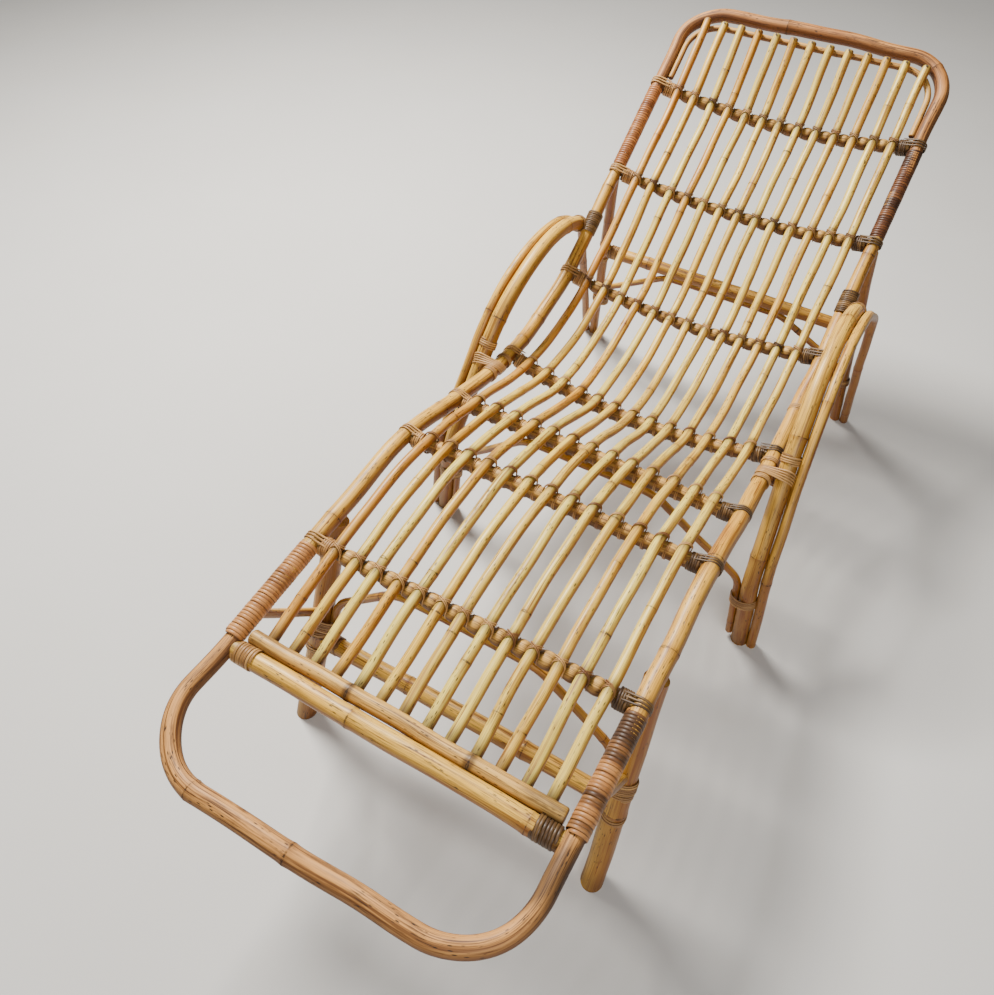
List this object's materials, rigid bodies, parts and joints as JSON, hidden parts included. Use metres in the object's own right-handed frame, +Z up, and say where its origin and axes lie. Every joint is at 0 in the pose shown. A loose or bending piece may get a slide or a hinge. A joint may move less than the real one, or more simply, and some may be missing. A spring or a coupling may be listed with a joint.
{
  "type": "rattan chaise longue",
  "caption": "Reclining chaise longue of bent rattan poles and lengthwise cane slats lashed to notched rungs, with bowed arms and splayed legs.",
  "frame": {"origin": "on the floor, under the middle of the length and the width", "axes": "+Y to the head end, +Z up, +X to the right when looking from the foot to the head"},
  "size_m": [0.6906, 1.6246, 0.6946],
  "materials": {
    "pole_cane": "satin varnish",
    "rung_cane": "satin varnish",
    "slat_cane": "worn satin varnish",
    "binding_peel": "dull peel",
    "thin_peel": "dull peel",
    "nail_steel": "dull steel"
  },
  "bodies": {
    "root": {"arch_bindings": "binding_peel", "arm_bindings": "binding_peel", "back_arch_brace": "pole_cane", "back_crossbar": "pole_cane", "calf_lashings": "thin_peel", "calf_rung": "rung_cane", "crossbar_end_bindings": "binding_peel", "foot_hoop": "pole_cane", "front_arch_brace": "pole_cane", "front_crossbar": "pole_cane", "front_stretcher": "pole_cane", "head_hoop": "pole_cane", "head_lashings": "thin_peel", "head_liner": "rung_cane", "head_rung": "rung_cane", "knee_lashings": "thin_peel", "knee_rung": "rung_cane", "left_arm_pole": "pole_cane", "left_arm_rider": "pole_cane", "left_back_leg": "pole_cane", "left_foot_wrap": "binding_peel", "left_front_leg": "pole_cane", "left_head_wrap": "binding_peel", "left_knee_brace": "pole_cane", "left_side_rail": "pole_cane", "leg_bar_bindings": "binding_peel", "lower_back_lashings": "thin_peel", "lower_back_rung": "rung_cane", "lumbar_lashings": "thin_peel", "lumbar_rung": "rung_cane", "mid_arch_brace": "pole_cane", "right_arm_pole": "pole_cane", "right_arm_rider": "pole_cane", "right_back_leg": "pole_cane", "right_foot_wrap": "binding_peel", "right_front_leg": "pole_cane", "right_head_wrap": "binding_peel", "right_knee_brace": "pole_cane", "right_side_rail": "pole_cane", "rung_end_bindings": "binding_peel", "seat_lashings": "thin_peel", "seat_rung": "rung_cane", "slat_01": "slat_cane", "slat_02": "slat_cane", "slat_03": "slat_cane", "slat_04": "slat_cane", "slat_05": "slat_cane", "slat_06": "slat_cane", "slat_07": "slat_cane", "slat_08": "slat_cane", "slat_09": "slat_cane", "slat_10": "slat_cane", "slat_11": "slat_cane", "slat_12": "slat_cane", "slat_13": "slat_cane", "slat_end_rail": "rung_cane", "slat_nails": "nail_steel", "upper_back_lashings": "thin_peel", "upper_back_rung": "rung_cane"}
  },
  "joints": []
}
